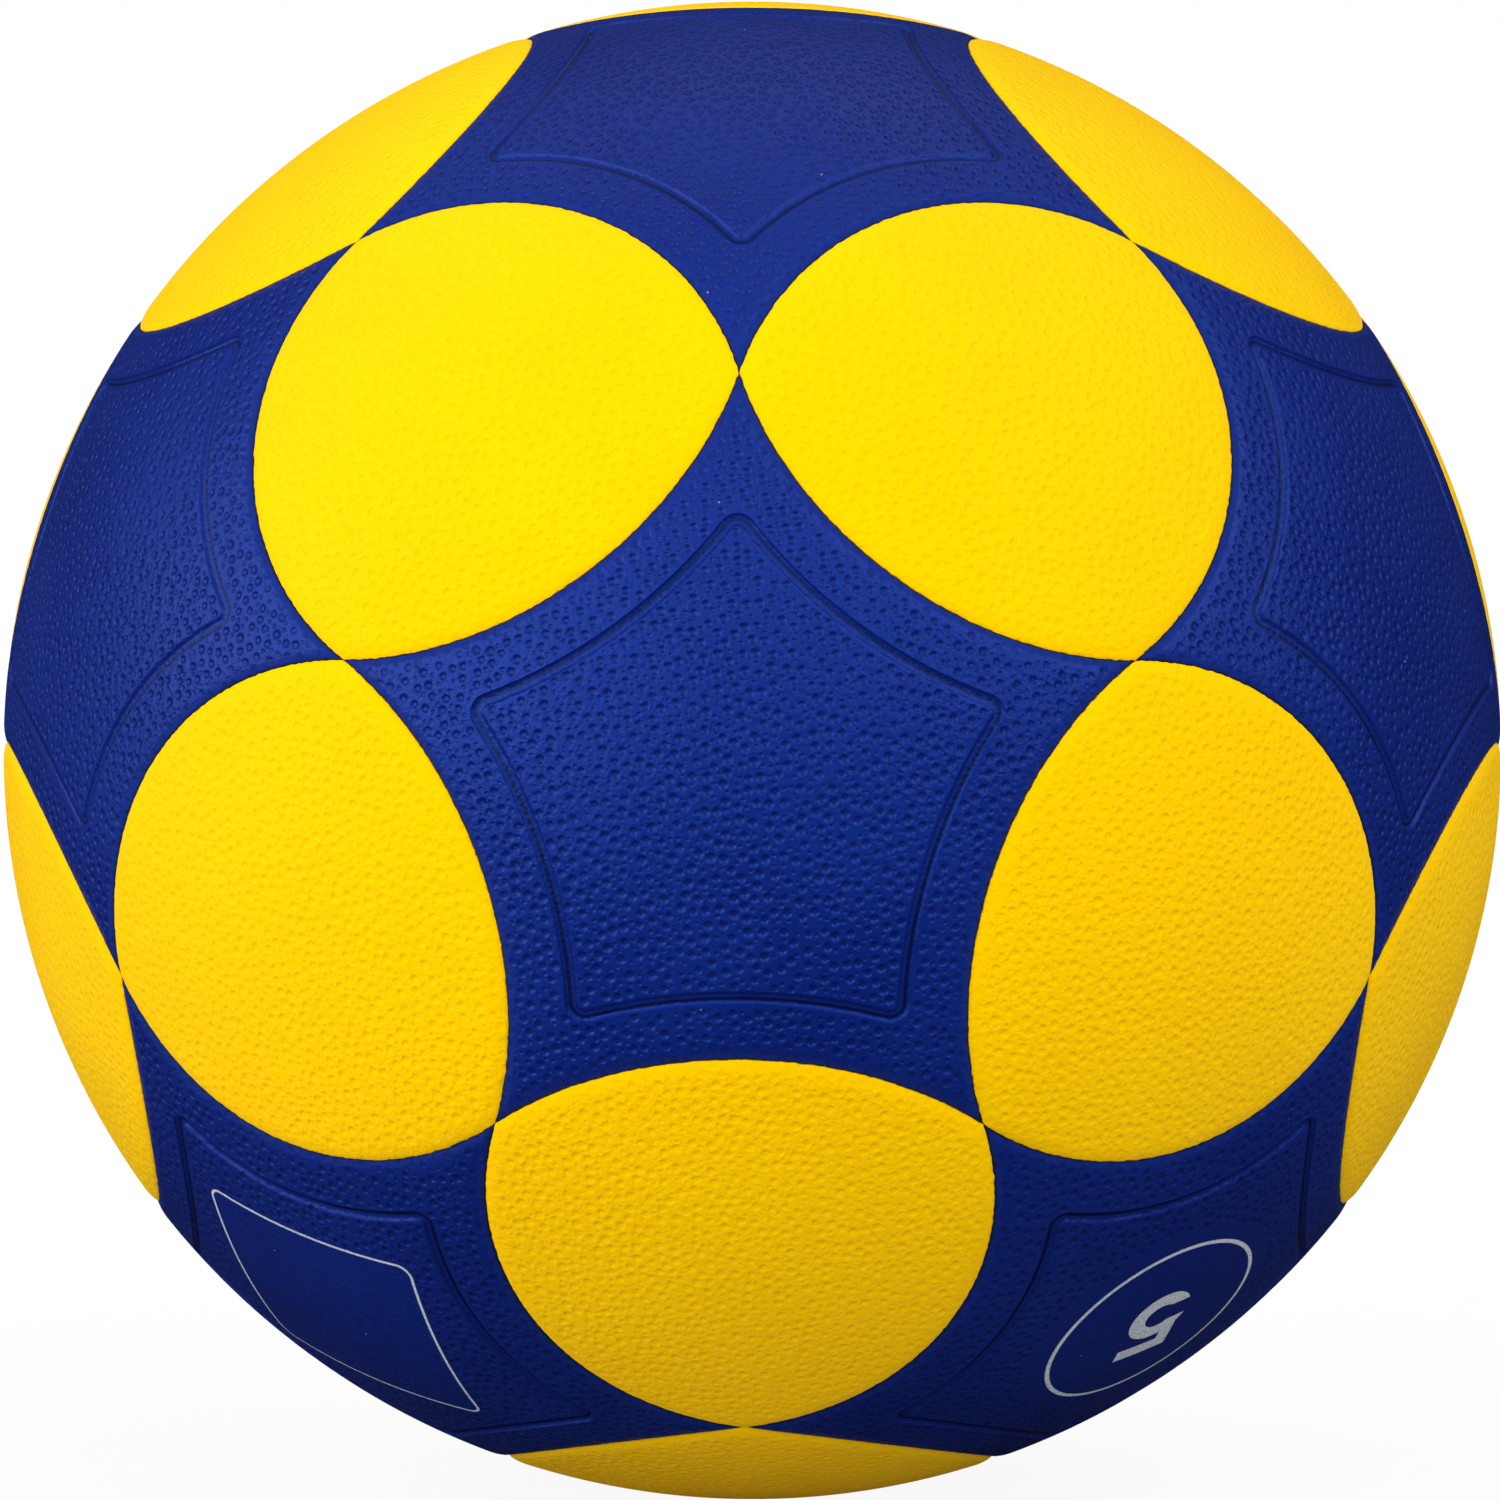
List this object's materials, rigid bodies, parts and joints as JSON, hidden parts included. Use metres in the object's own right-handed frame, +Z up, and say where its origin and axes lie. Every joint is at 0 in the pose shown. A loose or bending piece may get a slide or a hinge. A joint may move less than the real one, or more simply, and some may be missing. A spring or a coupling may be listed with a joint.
{
  "type": "korfball",
  "caption": "Round two-colour rubber match ball of star and petal panels over a thread-wound casing and bladder, with a needle valve whose core pulls out.",
  "frame": {"origin": "middle of the ball", "axes": "+Z up as pictured, -Y through the star that faces the viewer, +Y out through the valve"},
  "size_m": [0.22, 0.2199, 0.22],
  "materials": {
    "blue_rubber": "matte moulded rubber with small deep dimples",
    "yellow_rubber": "matte moulded rubber with small deep dimples",
    "carcass_rubber": "matte natural rubber",
    "nylon_thread": "fine wound thread set in latex",
    "bladder_butyl": "smooth butyl rubber",
    "valve_rubber": "smooth moulded rubber",
    "core_rubber": "smooth soft rubber"
  },
  "bodies": {
    "ball": {"bladder": "bladder_butyl", "thread_winding": "nylon_thread", "rubber_carcass": "carcass_rubber", "valve_stem": "valve_rubber", "star_panel_front": "blue_rubber", "star_panel_front_ring_1": "blue_rubber", "star_panel_front_ring_2": "blue_rubber", "star_panel_front_ring_3": "blue_rubber", "star_panel_front_ring_4": "blue_rubber", "star_panel_front_ring_5": "blue_rubber", "star_panel_back_ring_1": "blue_rubber", "star_panel_back_ring_2": "blue_rubber", "star_panel_back_ring_3": "blue_rubber", "star_panel_back_ring_4": "blue_rubber", "star_panel_back_ring_5": "blue_rubber", "star_panel_valve": "blue_rubber", "petal_panel_front_1": "yellow_rubber", "petal_panel_front_2": "yellow_rubber", "petal_panel_front_3": "yellow_rubber", "petal_panel_front_4": "yellow_rubber", "petal_panel_front_5": "yellow_rubber", "petal_panel_front_belt_1": "yellow_rubber", "petal_panel_front_belt_2": "yellow_rubber", "petal_panel_front_belt_3": "yellow_rubber", "petal_panel_front_belt_4": "yellow_rubber", "petal_panel_front_belt_5": "yellow_rubber", "petal_panel_back_belt_1": "yellow_rubber", "petal_panel_back_belt_2": "yellow_rubber", "petal_panel_back_belt_3": "yellow_rubber", "petal_panel_back_belt_4": "yellow_rubber", "petal_panel_back_belt_5": "yellow_rubber", "petal_panel_back_1": "yellow_rubber", "petal_panel_back_2": "yellow_rubber", "petal_panel_back_3": "yellow_rubber", "petal_panel_back_4": "yellow_rubber", "petal_panel_back_5": "yellow_rubber"},
    "core": {"valve_core": "core_rubber"}
  },
  "joints": [
    {"name": "valve_core_pull", "type": "slide", "parent": "ball", "child": "core", "axis": [0, 1, 0], "range_m": [0, 0.018]}
  ]
}
